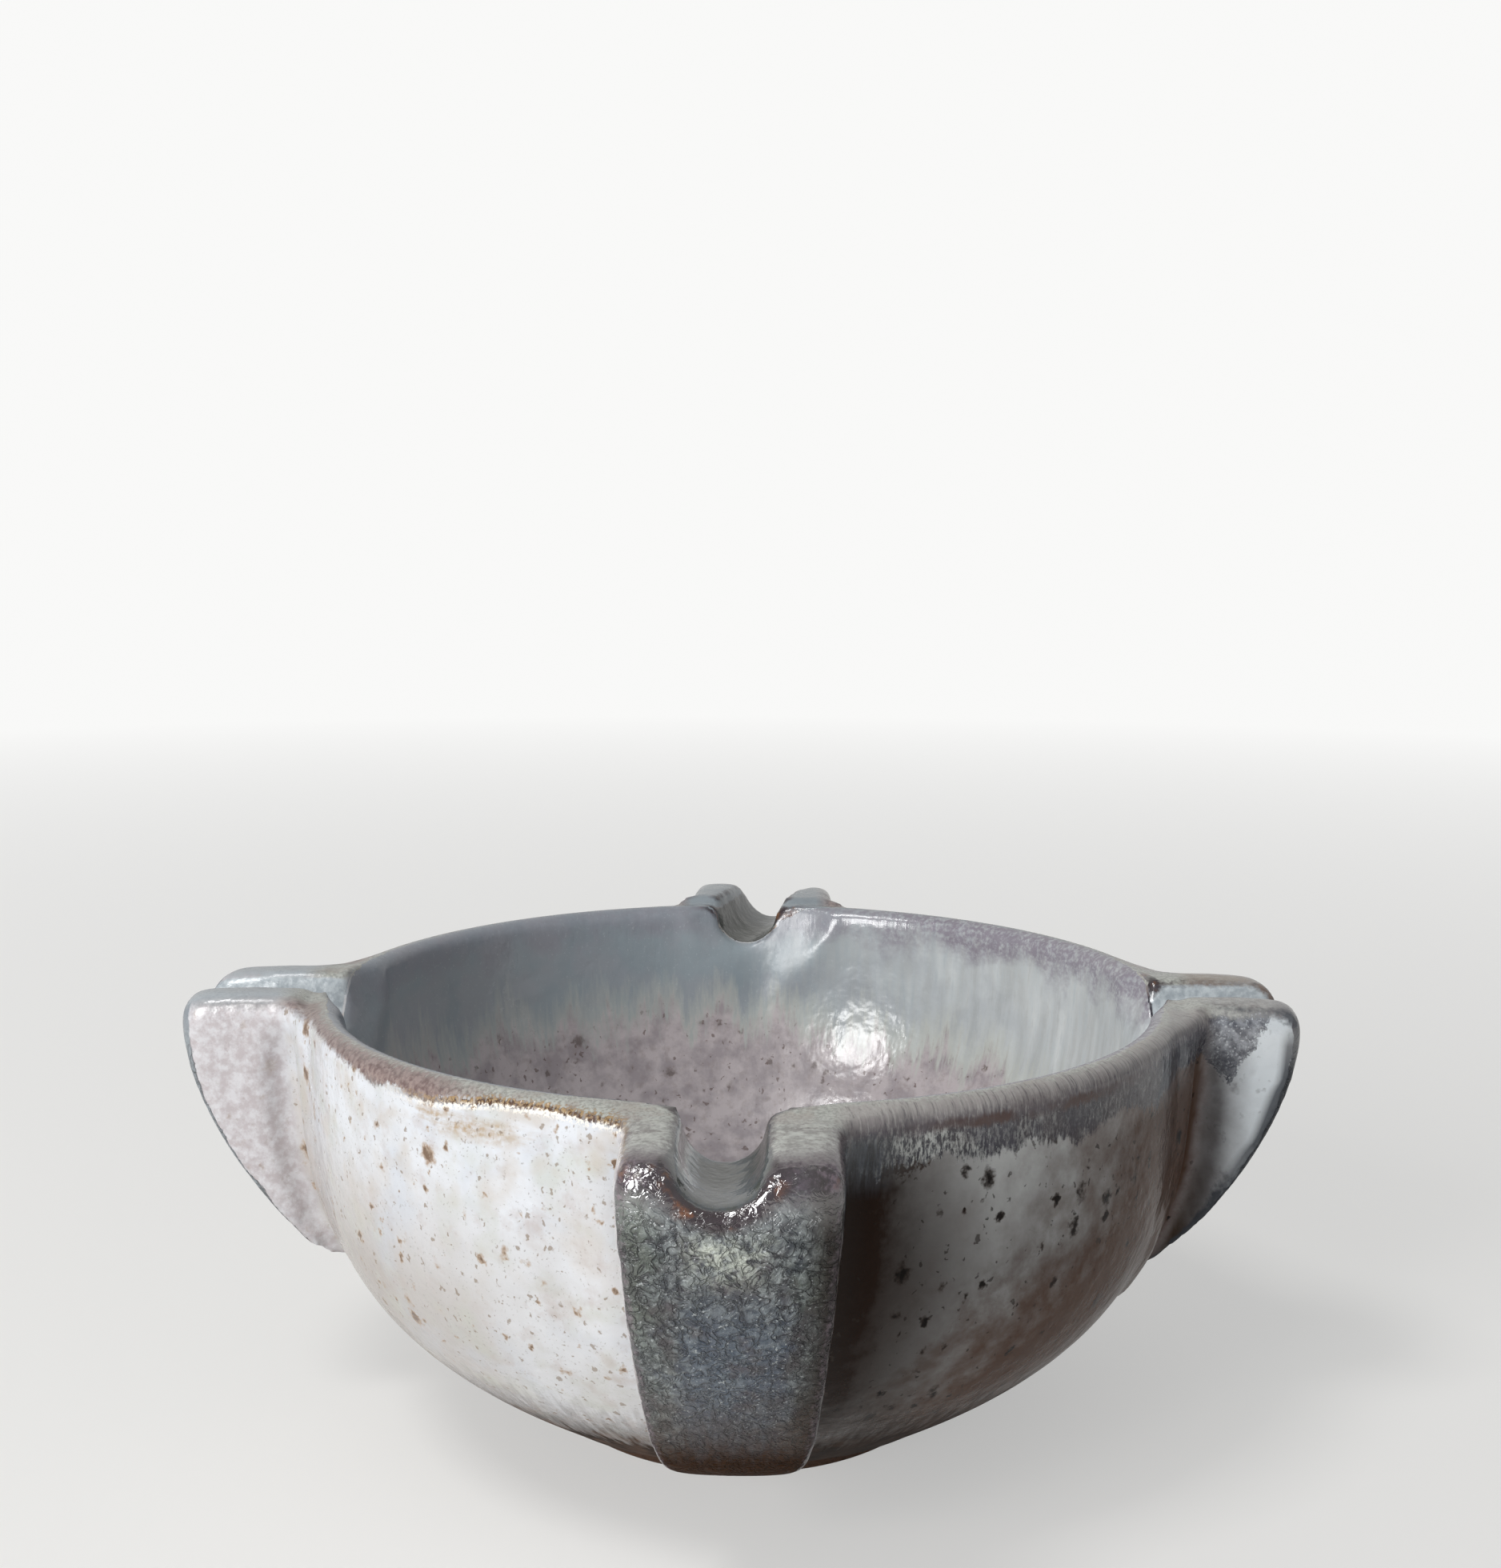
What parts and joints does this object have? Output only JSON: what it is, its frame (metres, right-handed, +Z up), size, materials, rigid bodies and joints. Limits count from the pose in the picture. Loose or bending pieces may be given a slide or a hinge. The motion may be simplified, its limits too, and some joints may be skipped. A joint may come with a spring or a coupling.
{
  "type": "notched stoneware bowl",
  "caption": "Round glazed stoneware bowl on a turned foot ring, with scooped, notched lugs standing out from its rim.",
  "frame": {"origin": "centre of the foot ring's standing face, on the table", "axes": "+Z up along the bowl's axis; the front lug, which reaches lowest, lies towards -Y, and the other lugs towards +X, +Y and -X"},
  "size_m": [0.1792, 0.1794, 0.07],
  "materials": {
    "glaze": "glossy reactive stoneware glaze, milky white with iron specks outside, slate blue-grey inside",
    "lug_glaze": "glossy blue-grey crystalline glaze that breaks purple-brown at the edges",
    "bare_clay": "dark brown stoneware with a thin, dry wash of glaze"
  },
  "bodies": {
    "root": {"bowl": "glaze", "foot_ring": "bare_clay", "lug_front": "lug_glaze", "lug_right": "lug_glaze", "lug_back": "lug_glaze", "lug_left": "lug_glaze"}
  },
  "joints": []
}
